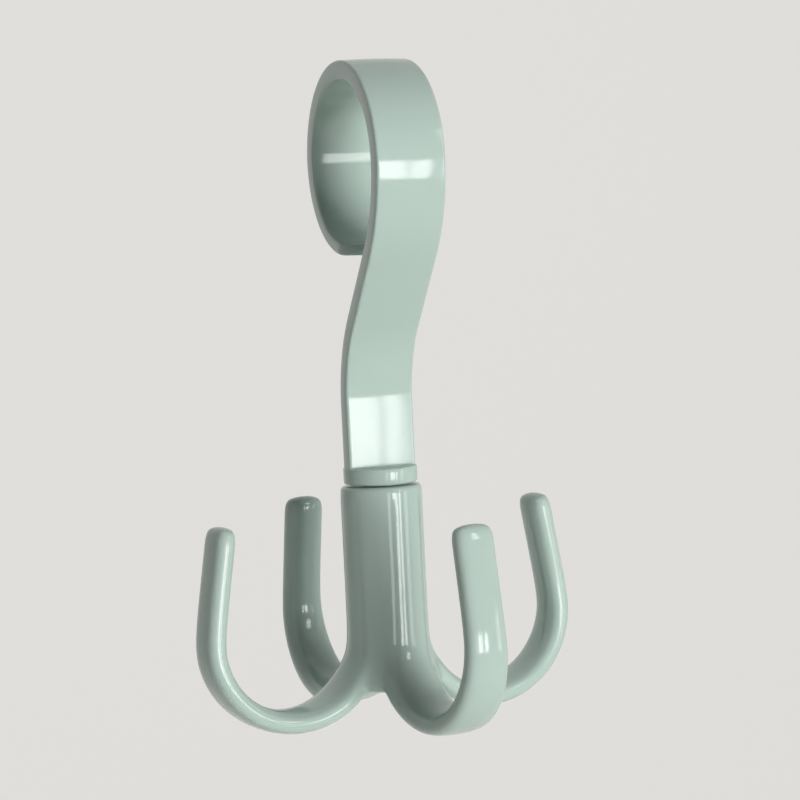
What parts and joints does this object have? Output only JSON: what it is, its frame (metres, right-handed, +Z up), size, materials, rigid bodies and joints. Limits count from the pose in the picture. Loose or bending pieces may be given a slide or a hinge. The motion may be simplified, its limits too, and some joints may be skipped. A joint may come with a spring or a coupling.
{
  "type": "rotating closet hook",
  "caption": "Hanging hook for a closet rod: an open ring on a flat curved stem, with a swivelling hub that carries upturned claws.",
  "frame": {"origin": "highest point of the ring's bore, at mid width, where the rod carries the hook", "axes": "+X along the rod, +Y to the back where the ring opens, +Z up along the swivel's axis"},
  "size_m": [0.096, 0.096, 0.1542],
  "materials": {
    "hook_plastic": "glossy moulded plastic, pale sage grey-green",
    "hub_plastic": "glossy moulded plastic, pale sage grey-green",
    "washer_steel": "plain zinc-plated steel",
    "screw_steel": "plain zinc-plated steel"
  },
  "bodies": {
    "hanger": {"rod_hook": "hook_plastic", "swivel_washer": "washer_steel", "pivot_screw": "screw_steel"},
    "claws": {"claw_hub": "hub_plastic"}
  },
  "joints": [
    {"name": "hub_swivel", "type": "hinge", "parent": "hanger", "child": "claws", "pos_m": [0, 0.006, -0.0943], "axis": [0, 0, 1], "continuous": true}
  ]
}
